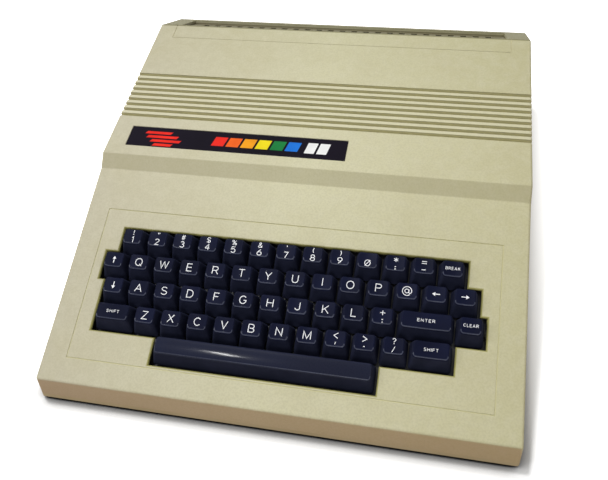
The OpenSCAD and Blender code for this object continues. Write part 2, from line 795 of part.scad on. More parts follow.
module power_socket() {
    back = rear_y(power_z) - wall - 3;
    translate([power_x - 15.4, back - 12, seat_z]) cube([30.8, 12, 12.5]);
    difference() {
        translate([power_x, back - slack / 2, power_z]) power_outline(6.5, 0);
        for (i = [0 : 8])
            translate([
                power_x + (i < 5 ? i - 2 : i - 6.5) * 2.76, back + 2, power_z + (i < 5 ? 1.42 : -1.42)
            ])
                rotate([-90, 0, 0]) cylinder(r = 0.55, h = 6);
    }
}

module switch_body() difference() {
    translate([switch_x - rocker_w / 2 - 3.5, switch_face_y - switch_d, seat_z])
        cube([rocker_w + 7, switch_d, board_top + switch_h - seat_z]);
    translate([switch_x - rocker_w / 2 - 0.5, rocker_y - 7.5, rocker_z - rocker_r - rocker_gap])
        cube([rocker_w + 1, switch_d, 2 * (rocker_r + rocker_gap)]);
    translate([switch_x - rocker_w / 2 - 2.5, rocker_y, rocker_z])
        rotate([0, 90, 0]) cylinder(r = hinge_pin_r + pin_gap, h = rocker_w + 5);
}

// Heat sink of the regulator: a plate with seven fins
module heat_sink() translate([board_x + 95, board_rear - 34, seat_z]) {
    translate([0, 8, 0]) cube([50, 2, sink_h]);
    for (i = [0 : 6]) translate([i * 8, 0, 0]) cube([2, 9, sink_h]);
}

module main_board() {
    color("#2f5d3a") difference() {
        union() {
            translate([board_x, board_y, board_z]) cube([board_w, board_d, board_t]);
            for (c = chips, i = [0 : c[2] - 1])
                translate([board_x + c[0] + i * c[3], board_rear - c[1], board_top - slack / 2])
                    cube([c[4].x, c[4].y, chip_h + slack / 2]);
            translate([-ribbon_w / 2 - 2, board_y + 6, board_top - slack / 2]) cube([ribbon_w + 4, 8, 6]);
        }
        for (at = pillars)
            translate([at.x, at.y, board_z - slack])
                cylinder(r = board_screw_r + 0.2, h = board_t + 2 * slack);
    }
    color("#3a3b40") {
        for (y = din_ys) round_socket(y);
        printer_header();
        reset_switch();
        cartridge_connector();
        switch_body();
    }
    color(steel) {
        television_socket();
        power_socket();
        heat_sink();
        for (i = [0, 1])
            translate([board_x + 158 + 20 * i, board_rear - 30, seat_z]) cylinder(r = 7, h = 25);
        for (at = pillars)
            translate([at.x, at.y, board_top])
                mirror([0, 0, 1]) screw_up(board_screw_r, 2.6, 0, board_t + board_screw_len - slack);
    }
}

module cartridge_flap() color(cream) {
    width = 2 * (web_y - flap_side_gap);
    translate([hinge_x, cart_y - width / 2, hinge_z - flap_drop]) cube([flap_t, width, flap_drop]);
    translate([hinge_x, cart_y - width / 2, hinge_z]) rotate([-90, 0, 0]) cylinder(r = hinge_r, h = width);
    translate([hinge_x, cart_y - web_y - web_t, hinge_z])
        rotate([-90, 0, 0]) cylinder(r = hinge_pin_r, h = 2 * (web_y + web_t));
}

module reset_button() color("#2a2a2c") translate([reset_tip_x, reset_y, din_z]) rotate([0, 90, 0]) {
    cylinder(r = reset_r, h = reset_len);
    translate([0, 0, wall - reset_recess + 0.3]) cylinder(r = reset_r + 1.2, h = 1.5);
    cylinder(r = reset_stem_r, h = reset_stem_len);
}

module power_rocker() color("#26262a")
    translate([switch_x, rocker_y, rocker_z]) rotate([rocker_tilt, 0, 0]) {
        rotate([90, 0, 90])
            linear_extrude(rocker_w, center = true)
                intersection() {
                    circle(rocker_r);
                    polygon([
                        [rocker_nose, rocker_r], [rocker_nose - 1.6, 0], [rocker_nose, -rocker_r],
                        [-2, -rocker_r], [-5, 0], [-2, rocker_r]
                    ]);
                }
        rotate([0, 90, 0]) cylinder(r = hinge_pin_r, h = rocker_w + 4.8, center = true);
    }

// Outer shape of a cap: skirt and top joined by four sloping faces
module cap_form(units) {
    skirt_w = cap_skirt_w(units);
    top_w = skirt_w - cap_taper;
    hull() {
        for (sx = [-1, 1], st = [-1, 1]) {
            translate([
                sx * (skirt_w / 2 - cap_skirt_r), st * (cap_skirt_d / 2 - cap_skirt_r), -cap_sink
            ])
                cylinder(r = cap_skirt_r, h = 0.4, $fn = 16);
            translate([
                sx * (top_w / 2 - cap_top_r),
                cap_top_shift + st * (cap_top_d / 2 - cap_top_r),
                cap_rise - 0.02
            ])
                cylinder(r = cap_top_r, h = 0.02, $fn = 16);
        }
    }
}

// Hollow inside a cap, open below
module cap_hollow(units) {
    skirt_w = cap_skirt_w(units) - 2 * cap_wall;
    top_w = cap_skirt_w(units) - cap_taper - 2 * cap_wall;
    hull() {
        translate([-skirt_w / 2, -hollow_skirt_d / 2, -cap_sink - 0.1])
            cube([skirt_w, hollow_skirt_d, 0.1]);
        translate([-top_w / 2, cap_top_shift - hollow_top_d / 2, roof_h - 0.1])
            cube([top_w, hollow_top_d, 0.1]);
    }
}

// Dish: a cylinder along the slope that just meets the top's side edges
module dish(units) {
    half_w = (cap_skirt_w(units) - cap_taper) / 2;
    r = (half_w * half_w + cap_dish * cap_dish) / (2 * cap_dish);
    translate([0, -pitch, cap_rise - cap_dish + r])
        rotate([-90, 0, 0]) cylinder(r = r, h = 2 * pitch, $fn = 96);
}

// Rounded back of the space bar: a cylinder across the case
module crown(units) {
    half_t = cap_top_d / 2 + 2;
    r = (half_t * half_t + space_crown * space_crown) / (2 * space_crown);
    translate([0, cap_top_shift, cap_rise - r])
        rotate([0, 90, 0]) cylinder(r = r, h = units * pitch, center = true, $fn = 96);
}

module stem(x) translate([x, 0, 0]) block(stem_w, stem_foot_h, roof_h + slack / 2);

module on_key(key) on_panel() translate([key_x(key), row_t(key[1]), 0]) children();

module keycap(key) color(ink) on_key(key) {
    difference() {
        cap_form(key[3]);
        cap_hollow(key[3]);
        dish(key[3]);
    }
    stem(0);
}

module space_bar() color(ink) on_key(SPACE_BAR) {
    difference() {
        intersection() {
            cap_form(space_units);
            crown(space_units);
        }
        cap_hollow(space_units);
    }
    for (i = [-1 : 1]) stem(i * space_guide);
}

upper_case();
lower_case();
keyboard_unit();
main_board();
cartridge_flap();
reset_button();
power_rocker();
for (key = KEYS) keycap(key);
space_bar();
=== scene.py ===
import math

import bmesh
import bpy
from mathutils import Matrix, Vector


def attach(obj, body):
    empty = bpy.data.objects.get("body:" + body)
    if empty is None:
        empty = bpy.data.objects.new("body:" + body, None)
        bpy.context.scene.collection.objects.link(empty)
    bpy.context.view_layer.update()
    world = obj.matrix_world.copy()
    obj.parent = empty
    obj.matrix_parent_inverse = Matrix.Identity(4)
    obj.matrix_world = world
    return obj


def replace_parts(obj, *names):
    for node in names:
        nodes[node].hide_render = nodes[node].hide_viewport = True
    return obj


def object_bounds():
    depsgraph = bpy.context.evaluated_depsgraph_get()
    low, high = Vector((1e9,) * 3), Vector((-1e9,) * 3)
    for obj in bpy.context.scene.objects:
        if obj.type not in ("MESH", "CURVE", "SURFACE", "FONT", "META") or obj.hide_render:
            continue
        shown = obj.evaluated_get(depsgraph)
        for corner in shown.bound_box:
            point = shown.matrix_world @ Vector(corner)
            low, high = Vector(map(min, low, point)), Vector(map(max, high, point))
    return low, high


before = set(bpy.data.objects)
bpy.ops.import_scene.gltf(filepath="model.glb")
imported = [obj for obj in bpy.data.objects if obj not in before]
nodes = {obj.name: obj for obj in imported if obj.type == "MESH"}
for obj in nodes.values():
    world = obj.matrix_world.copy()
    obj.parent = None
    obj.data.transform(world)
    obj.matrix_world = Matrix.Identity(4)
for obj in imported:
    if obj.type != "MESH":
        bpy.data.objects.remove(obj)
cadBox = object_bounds()
scene = bpy.context.scene
mm = 0.001
inMillimetres = Matrix.Scale(mm, 4)
print("frame loaded,", len(nodes), "nodes")

# camera: its place in metres, its turns in degrees, its lens and sensor in millimetres
view = {"place": (0.092134, -0.378061, 0.422002), "yaw": 15.46, "pitch": 48.72, "roll": -6.16, "lens": 40.25,
        "sensor": 36, "nearest": 0.01}


def addCamera(s):
    lens = bpy.data.cameras.new("camera")
    lens.lens = s["lens"]
    lens.sensor_width = s["sensor"]
    lens.clip_start = s["nearest"]
    camera = bpy.data.objects.new("camera", lens)
    yaw = Matrix.Rotation(math.radians(s["yaw"]), 4, "Z")
    pitch = Matrix.Rotation(math.radians(90 - s["pitch"]), 4, "X")
    roll = Matrix.Rotation(math.radians(s["roll"]), 4, "Z")
    camera.matrix_world = Matrix.Translation(s["place"]) @ yaw @ pitch @ roll
    scene.collection.objects.link(camera)
    scene.camera = camera


addCamera(view)


def faceFrame(y, z, slope):
    # a face of the case as a frame of its own, in metres: x across, y up the slope, z out of the face
    return Matrix.Translation((0, y * mm, z * mm)) @ Matrix.Rotation(math.radians(slope), 4, "X")


# front edge of each face, y and z in millimetres, and its slope in degrees
panel = faceFrame(-186.5, 21.4, 18)
stepFace = faceFrame(-29.29, 72.481, 40.5)
topFace = faceFrame(-19.709, 80.664, 6.0317)
rearSlope = faceFrame(134.9, 97, -25.29)
wholeCase = Matrix.Identity(4)


def toFace(face):
    # turns places in metres into a face's own millimetres
    return inMillimetres.inverted() @ face.inverted()


def boxIn(face, node):
    # a node's lowest and highest corners in a face's frame, in millimetres
    turned = toFace(face)
    points = [turned @ v.co for v in nodes[node].data.vertices]
    return [Vector([pick(p[i] for p in points) for i in range(3)]) for pick in (min, max)]


def colour(text):
    # an sRGB hex colour, turned to linear
    parts = [int(text[i:i + 2], 16) / 255 for i in (1, 3, 5)]
    return [c / 12.92 if c <= 0.04045 else ((c + 0.055) / 1.055) ** 2.4 for c in parts] + [1]


def addNode(tree, kind, sockets=None, **settings):
    node = tree.nodes.new("ShaderNode" + kind)
    for name, value in settings.items():
        setattr(node, name, value)
    for name, value in (sockets or {}).items():
        if isinstance(value, bpy.types.NodeSocket):
            tree.links.new(value, node.inputs[name])
        else:
            node.inputs[name].default_value = value
    return node


def newMaterial(name):
    material = bpy.data.materials.new(name)
    material.use_nodes = True
    tree = material.node_tree
    tree.nodes.clear()
    place = addNode(tree, "TexCoord").outputs["Object"]
    shader = addNode(tree, "BsdfPrincipled")
    addNode(tree, "OutputMaterial", {"Surface": shader.outputs["BSDF"]})
    return material, tree, place, shader


# where a noise mostly lies: the two shades of the blotches and the roughness of the grain spread over these
noiseSpan = {"blotch": (0.35, 0.65), "grain": (0.3, 0.7)}


def layTint(tree, base, value, span, tint, most=1):
    # lays a colour over the base as a value runs through its span, up to a share
    share = addNode(tree, "MapRange", {"Value": value, "From Min": span[0], "From Max": span[1],
                                       "To Max": most})
    return addNode(tree, "Mix", {0: share.outputs["Result"], 6: base, 7: colour(tint)},
                   data_type="RGBA").outputs[2]


def setFinish(tree, shader, place, base, s):
    # the grain as relief, and a roughness that varies with it
    grain = addNode(tree, "TexNoise", {"Vector": place, "Scale": 1 / (s["grain"] * mm), "Detail": 2})
    height = grain.outputs["Fac"]
    start, end = noiseSpan["grain"]
    rough = addNode(tree, "MapRange", {"Value": height, "From Min": start, "From Max": end,
                                       "To Min": s["rough"][0], "To Max": s["rough"][1]})
    bump = addNode(tree, "Bump", {"Height": height, "Strength": s["relief"], "Distance": s["depth"] * mm})
    tree.links.new(base, shader.inputs["Base Color"])
    tree.links.new(rough.outputs["Result"], shader.inputs["Roughness"])
    tree.links.new(bump.outputs["Normal"], shader.inputs["Normal"])
    shader.inputs["Metallic"].default_value = s.get("metal", 0)
    shader.inputs["Specular IOR Level"].default_value = s.get("gloss", 0.5)
    coat, coatRoughness = s.get("coat", (0, 0.1))
    shader.inputs["Coat Weight"].default_value = coat
    shader.inputs["Coat Roughness"].default_value = coatRoughness


def plain(s):
    # plain moulded, plated or painted surface: two close shades in soft blotches, and grain
    material, tree, place, shader = newMaterial(s["name"])
    first, second = s["shades"]
    blotch = addNode(tree, "TexNoise", {"Vector": place, "Scale": 1 / (s["blotch"] * mm), "Detail": 3})
    base = layTint(tree, colour(first), blotch.outputs["Fac"], noiseSpan["blotch"], second)
    setFinish(tree, shader, place, base, s)
    return material


# case: ABS moulded in a spark-eroded tool and yellowed by age, which gives a dull, slightly uneven cream;
# light and shade are painted on its faces, grooves and recesses; the real grain is near 0.1 mm and is drawn
# at 0.9 mm, so that it shows
caseFinish = {
    "name": "agedAbs", "tone": "#c0baa3",
    # painted light and shade over the case, lightest in the middle, darker towards either side and towards
    # the rear: axis, where each starts and is full in millimetres, colour, share
    "paintedLightAndShadeDrifts": [("X", -160, 0, "#d1cdac", 1), ("X", 0, 160, "#c4bf99", 1), ("Y", 20, 170, "#a29e72", 0.3)],
    # blotches, mottle and specks: size in millimetres, detail, stretch of the noise, colour, share
    "patches": [
        (45, 4, (0.45, 0.75), "#bdb692", 0.4),
        (7, 3, (0.4, 0.7), "#d6d2ba", 0.22),
        (1.3, 2, (0.42, 0.62), "#aaa584", 0.22),
    ],
    # painted light and shade, lifting or darkening the tint by depth under a face: face, then in its
    # millimetres the reach to either side, first and last y, the heights at which it starts and is full, and
    # the lowest height; last its colour and share
    "paintedLightAndShade": [
        (topFace, 162.3, (39.9, 91.3), (-0.5, -1.4), -3.2, "#cdc8a2", 0.9),  # floors of the grooves: painted light, lifted against their shade
        (topFace, 162.3, (41.8, 89.4), (-0.5, -0.3), -3.2, "#d8d4b6", 0.5),  # ribs between them: painted highlight
        (panel, 146, (15.5, 133.5), (-0.1, -0.4), -1, "#d3cfa4", 0.9),  # line round the keys: painted light, lifted against its shade
        (topFace, 147, (137, 156), (-0.05, -0.3), -1, "#d6d1ac", 0.9),  # line near the rear: painted light, lifted against its shade
        (panel, 142, (18, 131), (-0.02, -0.3), -3.2, "#938e4e", 0.9),  # rounded edge of the cut-out: a painted olive line of light and shade
        (panel, 150, (10, 140), (-2.7, -3.0), -60, "#1c1a17", 0.92),  # bosses under the panel: painted shade, near black
        (stepFace, 165, (0.6, 12), (-0.5, -0.2), -2, "#a8a280", 0.38),  # step: painted shade
        (wholeCase, 165, (-191, -186.7), (21.2, 20.4), 2, "#b08c6c", 0.5),  # front wall: painted shade, warm as light thrown back from below
        (rearSlope, 163, (-1, 50), (-1.0, -0.4), -3.2, "#757150", 0.85),  # rear slope: painted shade
        (rearSlope, 142.2, (1.8, 38.2), (-0.6, -2.4), -9, "#5b543c", 0.85),  # vent recess: painted shade
        (rearSlope, 142.2, (1.8, 38.2), (-3.15, -3.6), -9, "#161412", 0.97),  # inside the vent slots: painted shade, near black
    ],
    "fade": 0.1, "spill": 0.3,  # how softly the painted light and shade end, in millimetres
    "grain": 0.9, "rough": (0.5, 0.66), "relief": 0.25, "depth": 0.06, "gloss": 0.13,
}


def agedAbs(s):
    material, tree, place, shader = newMaterial(s["name"])
    along = addNode(tree, "SeparateXYZ", {"Vector": place}).outputs
    base = colour(s["tone"])
    # painted light and shade across the case
    for axis, start, end, tint, most in s["paintedLightAndShadeDrifts"]:
        base = layTint(tree, base, along[axis], (start * mm, end * mm), tint, most)
    for size, detail, span, tint, most in s["patches"]:
        patch = addNode(tree, "TexNoise", {"Vector": place, "Scale": 1 / (size * mm), "Detail": detail})
        base = layTint(tree, base, patch.outputs["Fac"], span, tint, most)
    fade, spill = s["fade"], s["spill"]
    # bands of painted light and shade, each bounded by depth under a face, its reach to the sides and its
    # span up the face
    for face, reach, (first, last), (start, full), lowest, tint, most in s["paintedLightAndShade"]:
        local = addNode(tree, "Mapping", {"Vector": place, "Location": face.translation,
                                          "Rotation": face.to_euler(), "Scale": (mm, mm, mm)},
                        vector_type="TEXTURE")
        at = addNode(tree, "SeparateXYZ", {"Vector": local.outputs["Vector"]}).outputs
        aside = addNode(tree, "Math", {0: at["X"]}, operation="ABSOLUTE").outputs["Value"]
        share = 1.0
        for value, empty, whole in [
            (at["Z"], start, full), (at["Z"], lowest - spill, lowest), (aside, reach + fade, reach - fade),
            (at["Y"], first - spill, first + fade), (at["Y"], last + spill, last - fade),
        ]:
            ramp = addNode(tree, "MapRange", {"Value": value, "From Min": empty, "From Max": whole})
            share = addNode(tree, "Math", {0: share, 1: ramp.outputs["Result"]},
                            operation="MULTIPLY").outputs["Value"]
        base = layTint(tree, base, share, (0, 1), tint, most)
    setFinish(tree, shader, place, base, s)
    return material


caseAbs = agedAbs(caseFinish)
# plain finishes: blotch, grain and depth are in millimetres. The real grain of all of them is near 0.1 mm or
# finer and is drawn coarser, so that it shows; "gloss" is how strongly a surface mirrors, 0.5 being the usual

# lower case: the same ABS out of the light, browner and evenly dull
baseAbs = plain({"name": "plainAbs", "shades": ("#bbab8a", "#b4a482"), "blotch": 25, "grain": 0.9,
                 "rough": (0.5, 0.62), "relief": 0.2, "depth": 0.05, "gloss": 0.15})
# key tops: navy ABS worn by fingers, a deep colour with a satin sheen
keyAbs = plain({"name": "satinKeyAbs", "shades": ("#151930", "#111426"), "blotch": 30, "grain": 0.7,
                "rough": (0.32, 0.42), "relief": 0.15, "depth": 0.02, "gloss": 0.035})
# sides of the caps: spark-eroded and never touched, so they are soft, even and matt; their paler shade is
# painted light
skirtAbsPaintedLighter = plain({"name": "mattKeyAbsPaintedLighter", "shades": ("#2a2d40", "#232637"), "blotch": 9, "grain": 0.6,
                  "rough": (0.55, 0.7), "relief": 0.4, "depth": 0.04, "gloss": 0.025})
# front rims of the key tops: shinier where polished by fingers, and lighter in colour as a painted highlight,
# a thin bright line along each key
rimHighlightAbs = plain({"name": "paintedHighlightRimAbs", "shades": ("#31364a", "#262a3c"), "blotch": 12, "grain": 0.7,
                "rough": (0.24, 0.34), "relief": 0.08, "depth": 0.02, "gloss": 0.25})
# sides of the space bar: matt as the caps' sides and painted paler as painted light, so the bar's top stands
# out from them
barSkirtAbsPaintedLighter = plain({"name": "mattBarAbsPaintedLighter", "shades": ("#2a2d40", "#242738"), "blotch": 14, "grain": 0.6,
                     "rough": (0.6, 0.75), "relief": 0.4, "depth": 0.04, "gloss": 0.015})
# top of the space bar: ABS polished by thumbs, which draws a lamp out into one long highlight
barAbs = plain({"name": "polishedBarAbs", "shades": ("#181d34", "#14182c"), "blotch": 60, "grain": 1.2,
                "rough": (0.26, 0.3), "relief": 0.05, "depth": 0.01, "gloss": 0.03, "coat": (0.2, 0.1)})
# legends: white plastic moulded through the cap, clean and flat
legendWhite = plain({"name": "legendWhite", "shades": ("#f6f7f9", "#eeeff1"), "blotch": 8, "grain": 0.6,
                     "rough": (0.4, 0.5), "relief": 0.05, "depth": 0.01})
# switch plate: steel in stoved black enamel, smooth with a soft gloss
blackEnamel = plain({"name": "blackEnamel", "shades": ("#232326", "#1a1a1c"), "blotch": 25, "grain": 0.8,
                     "rough": (0.3, 0.45), "relief": 0.2, "depth": 0.03})
# switches, sockets and buttons: moulded nylon, a deep black with a waxy sheen
switchNylon = plain({"name": "blackNylon", "shades": ("#1c1c1e", "#131314"), "blotch": 6, "grain": 0.5,
                     "rough": (0.35, 0.5), "relief": 0.1, "depth": 0.02})
# case and board screws: zinc-plated steel, bright grey with blurred mirroring
zincSteel = plain({"name": "zincPlatedSteel", "shades": ("#adaeaa", "#949593"), "blotch": 5, "grain": 0.4,
                   "rough": (0.25, 0.4), "relief": 0.1, "depth": 0.01, "metal": 1})
# cans and shells on the main board: tinned sheet, paler and a little duller than zinc
tinnedSteel = plain({"name": "tinnedSteel", "shades": ("#a9a9a4", "#8f908c"), "blotch": 12, "grain": 0.6,
                     "rough": (0.3, 0.42), "relief": 0.1, "depth": 0.02, "metal": 1})
# heat sink: black anodised aluminium, dark with a metallic glint on its edges
darkAluminium = plain({"name": "blackAnodisedAluminium", "shades": ("#3b3b3d", "#2c2c2e"), "blotch": 10,
                       "grain": 0.4, "rough": (0.4, 0.5), "relief": 0.1, "depth": 0.01, "metal": 1})
# screws of the keyboard: oxide-blackened steel, which sinks into the dark between the keys
blackSteel = plain({"name": "blackOxideSteel", "shades": ("#2b2b2d", "#1e1e20"), "blotch": 5, "grain": 0.4,
                    "rough": (0.4, 0.55), "relief": 0.1, "depth": 0.01, "metal": 1})
# feet: moulded rubber, matt and charcoal rather than black
footRubber = plain({"name": "footRubber", "shades": ("#2a2927", "#1f1e1d"), "blotch": 7, "grain": 0.5,
                    "rough": (0.7, 0.85), "relief": 0.3, "depth": 0.05})
# circuit boards: green lacquer over copper tracks, mottled and glossy
solderMask = plain({"name": "greenSolderMask", "shades": ("#2c5a3a", "#21492e"), "blotch": 4, "grain": 1.0,
                    "rough": (0.3, 0.4), "relief": 0.2, "depth": 0.03})
# flat cable: extruded PVC, plain grey with a soft shine
ribbonPvc = plain({"name": "greyRibbonPvc", "shades": ("#9a9a98", "#8a8a88"), "blotch": 15, "grain": 1.2,
                   "rough": (0.45, 0.55), "relief": 0.3, "depth": 0.1})
# badge: lacquered plate, nearly black and the smoothest surface of all
badgeLacquer = plain({"name": "glossyBadgeLacquer", "shades": ("#140e1c", "#0f0a15"), "blotch": 50,
                      "grain": 2.0, "rough": (0.14, 0.2), "relief": 0.03, "depth": 0.01, "gloss": 0.07})
# colours on the badge: screen-printed ink, flat and full
badgeInks = {
    name: plain({"name": "screenInk" + name.capitalize(), "shades": shades, "blotch": 12, "grain": 0.5,
                 "rough": (0.3, 0.38), "relief": 0.05, "depth": 0.01, "gloss": 0.1})
    for name, shades in {
        "red": ("#f02a1c", "#dc2216"), "orange": ("#f2661c", "#e05812"), "amber": ("#f4a21a", "#e69210"),
        "yellow": ("#f0dc1e", "#e2cc12"), "green": ("#12803e", "#0c7234"), "blue": ("#1a74d6", "#1266c4"),
        "white": ("#f0f0ee", "#e4e4e2"),
    }.items()
}
print("materials made")

# rounded edges: steps across each, least turn of an edge in degrees, and the room beside it and the length
# that it needs, as multiples of its width; "sharp" is the turn in degrees from which shading keeps an edge
rounding = {"steps": 2, "leastTurn": 24, "room": 2.6, "length": 2.2, "sharp": 32}
# copies of the solids: doubles are nearer than this many millimetres, flat faces turn less than these degrees
mending = {"merge": 0.002, "flat": 0.3}


def newPiece(name, shape, materials, body):
    mesh = bpy.data.meshes.new(name)
    shape.to_mesh(mesh)
    shape.free()
    for material in materials:
        mesh.materials.append(material)
    mesh.polygons.foreach_set("use_smooth", [True] * len(mesh.polygons))
    mesh.set_sharp_from_angle(angle=math.radians(rounding["sharp"]))
    piece = bpy.data.objects.new(name, mesh)
    scene.collection.objects.link(piece)
    # flat faces keep their own normal, the narrow rounded edges take up the turn
    evened = piece.modifiers.new("evened", "WEIGHTED_NORMAL")
    evened.mode = "FACE_AREA"
    evened.keep_sharp = True
    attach(piece, body)
    return piece


def bevelEdges(shape, edges, width, steps):
    return bmesh.ops.bevel(shape, geom=edges, affect="EDGES", offset=width, offset_type="OFFSET",
                           segments=steps, profile=0.5, material=-1)


def room(edge, face):
    # how far a face reaches from one of its edges
    start = edge.verts[0].co
    along = (edge.verts[1].co - start).normalized()
    return max(((v.co - start) - along * (v.co - start).dot(along)).length for v in face.verts)


def softenEdges(shape, width):
    # rounds the edges that turn and that have room for it; the width is in millimetres
    edges = [
        e for e in shape.edges
        if len(e.link_faces) == 2 and e.calc_face_angle(0) > math.radians(rounding["leastTurn"])
        and min(room(e, f) for f in e.link_faces) > rounding["room"] * width * mm
        and e.calc_length() > rounding["length"] * width * mm
    ]
    bevelEdges(shape, edges, width * mm, rounding["steps"])


def cadShape(node):
    # a merged copy of a node's loose triangles, with its flat faces whole again
    shape = bmesh.new()
    shape.from_mesh(nodes[node].data)
    bmesh.ops.remove_doubles(shape, verts=shape.verts, dist=mending["merge"] * mm)
    bmesh.ops.dissolve_limit(shape, angle_limit=math.radians(mending["flat"]), verts=shape.verts,
                             edges=shape.edges)
    return shape


def looseParts(shape):
    # splits a shape into its separate solids
    parts = []
    taken = set()
    for start in shape.faces:
        if start in taken:
            continue
        taken.add(start)
        found = [start]
        queue = [start]
        while queue:
            for face in [f for e in queue.pop().edges for f in e.link_faces]:
                if face not in taken:
                    taken.add(face)
                    found.append(face)
                    queue.append(face)
        part = bmesh.new()
        copies = {}
        for face in found:
            for v in face.verts:
                if v not in copies:
                    copies[v] = part.verts.new(v.co)
            part.faces.new([copies[v] for v in face.verts])
        parts.append(part)
    shape.free()
    return parts


def joined(shapes):
    whole = bmesh.new()
    for shape in shapes:
        mesh = bpy.data.meshes.new("part")
        shape.to_mesh(mesh)
        shape.free()
        whole.from_mesh(mesh)
        bpy.data.meshes.remove(mesh)
    return whole


def raisedFace(shape):
    # gives flat faces a unit of thickness
    raised = bmesh.ops.extrude_face_region(shape, geom=shape.faces[:], use_keep_orig=True)
    for v in [g for g in raised["geom"] if isinstance(g, bmesh.types.BMVert)]:
        v.co.z = 1
    bmesh.ops.recalc_face_normals(shape, faces=shape.faces)
    return shape


# case: rounded edges in millimetres
caseEdges = {"shell": 0.35, "flap": 0.3}
# the key field's cut-out has a wider rounded edge, and its edges lie within this part of the panel
cutOut = {"edge": 1.6, "steps": 5, "reach": 143.8, "front": 18, "rear": 131, "leastTurn": 17, "height": 0.05}


def inCutOut(edge, s):
    if len(edge.link_faces) != 2 or edge.calc_face_angle(0) < math.radians(s["leastTurn"]):
        return False
    return all(abs(p.z) < s["height"] and abs(p.x) < s["reach"] and s["front"] < p.y < s["rear"]
               for p in (toFace(panel) @ v.co for v in edge.verts))


shell = cadShape("upper_case")
bevelEdges(shell, [e for e in shell.edges if inCutOut(e, cutOut)], cutOut["edge"] * mm, cutOut["steps"])
softenEdges(shell, caseEdges["shell"])
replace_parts(newPiece("upper_case_moulding", shell, [caseAbs], "chassis"), "upper_case")

flap = cadShape("cartridge_flap")
softenEdges(flap, caseEdges["flap"])
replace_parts(newPiece("flap_moulding", flap, [caseAbs], "flap"), "cartridge_flap")


def extent(shape):
    # middle and size of a shape, in millimetres
    low = Vector([min(v.co[i] for v in shape.verts) for i in range(3)])
    high = Vector([max(v.co[i] for v in shape.verts) for i in range(3)])
    return (low + high) / 2 / mm, (high - low) / mm


def dressSolids(node, name, kinds, kindOf):
    # makes a node's solids into a few pieces, one for each kind, with a material of its own
    solids = {kind: [] for kind in kinds}
    for solid in looseParts(cadShape(node)):
        solids[kindOf(*extent(solid))].append(solid)
    for kind, material in kinds.items():
        piece = newPiece(name + kind, joined(solids[kind]), [material], "chassis")
        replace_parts(piece, node)


# the kinds of solids with their materials, and the sizes in millimetres that tell them apart
lowerCase = {"tray": baseAbs, "feet": footRubber, "screws": zincSteel}
lowerSizes = {"trayLeast": 100, "footLeast": 10}


def lowerKind(middle, size):
    if size.x > lowerSizes["trayLeast"]:
        return "tray"
    return "feet" if size.x > lowerSizes["footLeast"] else "screws"


dressSolids("lower_case", "lower_case_", lowerCase, lowerKind)
print("case done")

# keyboard unit: the plate and its board lie across the whole key field, the board under the plate
keyboardUnit = {"plate": blackEnamel, "switches": switchNylon, "board": solderMask, "screws": blackSteel,
                "ribbon": ribbonPvc}
keyboardSizes = {"sheetLeast": 200, "boardBelow": -14, "ribbonLeast": 30, "switchLeast": 10}


def keyboardKind(middle, size):
    if size.x > keyboardSizes["sheetLeast"]:
        height = (toFace(panel) @ (middle * mm)).z
        return "board" if height < keyboardSizes["boardBelow"] else "plate"
    if size.x > keyboardSizes["ribbonLeast"]:
        return "ribbon"
    return "switches" if size.x > keyboardSizes["switchLeast"] else "screws"


dressSolids("keyboard_unit", "keyboard_", keyboardUnit, keyboardKind)

# main board: metal are the two capacitors, the television can and the power socket's shell
mainBoard = {"board": solderMask, "metal": tinnedSteel, "sink": darkAluminium, "sockets": switchNylon,
             "screws": zincSteel}
boardSizes = {"boardLeast": 200, "screwMost": 6, "sinkWidth": 50, "sinkLeastHeight": 30, "capacitorWidth": 14,
              "capacitorLeastHeight": 24.5, "canDepth": 34, "powerWidth": 30.8, "near": 0.5}


def boardKind(middle, size):
    s = boardSizes
    if size.x > s["boardLeast"]:
        return "board"
    if size.x < s["screwMost"] and size.y < s["screwMost"]:
        return "screws"
    if size.z > s["sinkLeastHeight"] and abs(size.x - s["sinkWidth"]) < s["near"]:
        return "sink"
    isCapacitor = size.z > s["capacitorLeastHeight"] and abs(size.x - s["capacitorWidth"]) < s["near"]
    isCan = abs(size.y - s["canDepth"]) < s["near"]
    isPower = abs(size.x - s["powerWidth"]) < s["near"]
    return "metal" if isCapacitor or isCan or isPower else "sockets"


dressSolids("main_board", "main_board_", mainBoard, boardKind)

buttonEdge = 0.3
for node, body, name, slotName in [("reset_button", "reset", "reset_cap", "button_plastic"),
                                   ("power_rocker", "rocker", "rocker_cap", "rocker_plastic")]:
    shape = cadShape(node)
    softenEdges(shape, buttonEdge)
    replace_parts(newPiece(name, shape, [switchNylon], body), node)
print("inner pieces done")

# keys, in millimetres in each key's own frame: x across, y up the slope, z out of the panel
keyPitch = 19.05
cap = {
    "foot": -4.6, "top": 6.5,  # heights over the panel
    "taper": 4.75, "topDepth": 11.2, "shift": 2.4,  # top: how much narrower, its depth, its way up the slope
    "dish": 0.7, "crown": 0,  # how far the top is hollowed from side to side, or arched from front to rear
    "corner": 2.1, "cornerSteps": 5, "rim": 0.9, "rimSteps": 4,  # rounded corners and rim
    "wall": 1.3, "roof": 1.5,
    "stem": 5, "stems": (0,), "stemOverlap": 0.5,  # stems: width, where they stand, how far into the roof
    "cuts": 8,  # how finely the top bends
    "skirtFacing": 0.52, "rimFacing": 0.8,  # a skirt's faces point up less than this, a flat rim's more
    "rimHighlightReach": 2.8,  # where the painted highlight of the front rim ends, in front of the middle
    # the rim's finish is a painted highlight, and the skirt's is painted paler as painted light
    "finish": {"top": keyAbs, "legend": legendWhite, "rim": rimHighlightAbs, "skirt": skirtAbsPaintedLighter},
}
